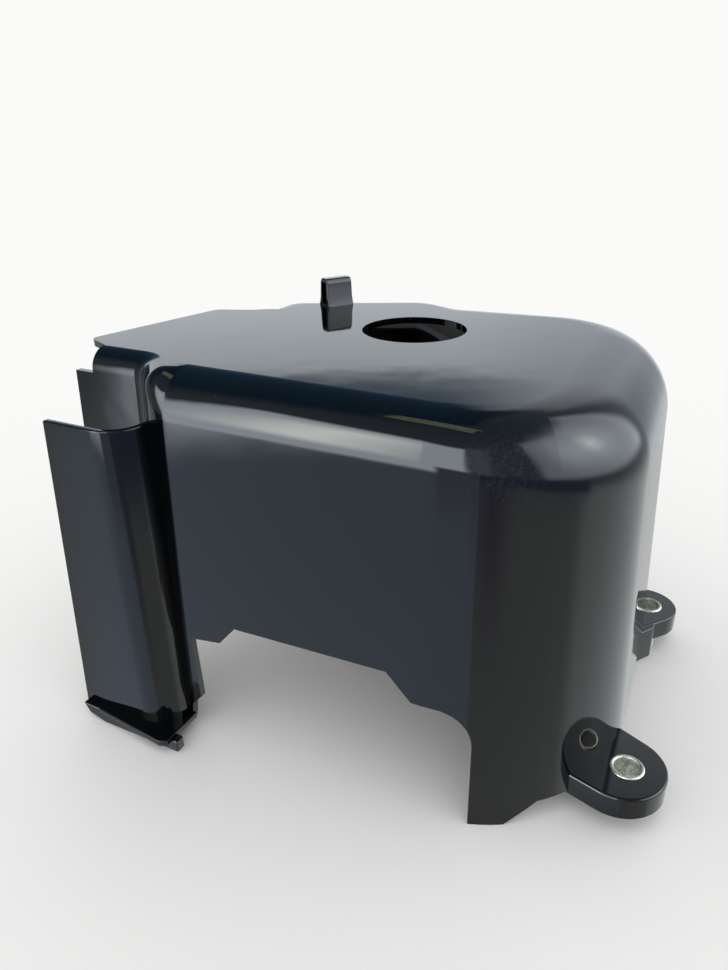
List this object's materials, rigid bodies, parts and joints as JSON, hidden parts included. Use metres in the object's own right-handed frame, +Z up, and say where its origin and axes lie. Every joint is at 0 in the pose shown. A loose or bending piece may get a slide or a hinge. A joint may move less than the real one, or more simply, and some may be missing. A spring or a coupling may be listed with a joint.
{
  "type": "engine cylinder shroud",
  "caption": "Moulded cooling shroud for a small engine's cylinder: rolled top with a plug-boot hole, an open side with an air channel, and bolting lugs with metal sleeves.",
  "frame": {"origin": "middle of the overall footprint, on the floor that the feet stand on", "axes": "+Z up, through the flat top; +X towards the end with the bolting lugs; +Y towards the back, away from the wall with the cut-out"},
  "size_m": [0.1742, 0.1424, 0.1174],
  "materials": {
    "moulded_plastic": "glossy injection moulded, near black, lightly scuffed",
    "plated_steel": "dull zinc plate"
  },
  "bodies": {
    "root": {"shroud_moulding": "moulded_plastic", "front_lug_sleeve": "plated_steel", "rear_lug_sleeve": "plated_steel"}
  },
  "joints": []
}
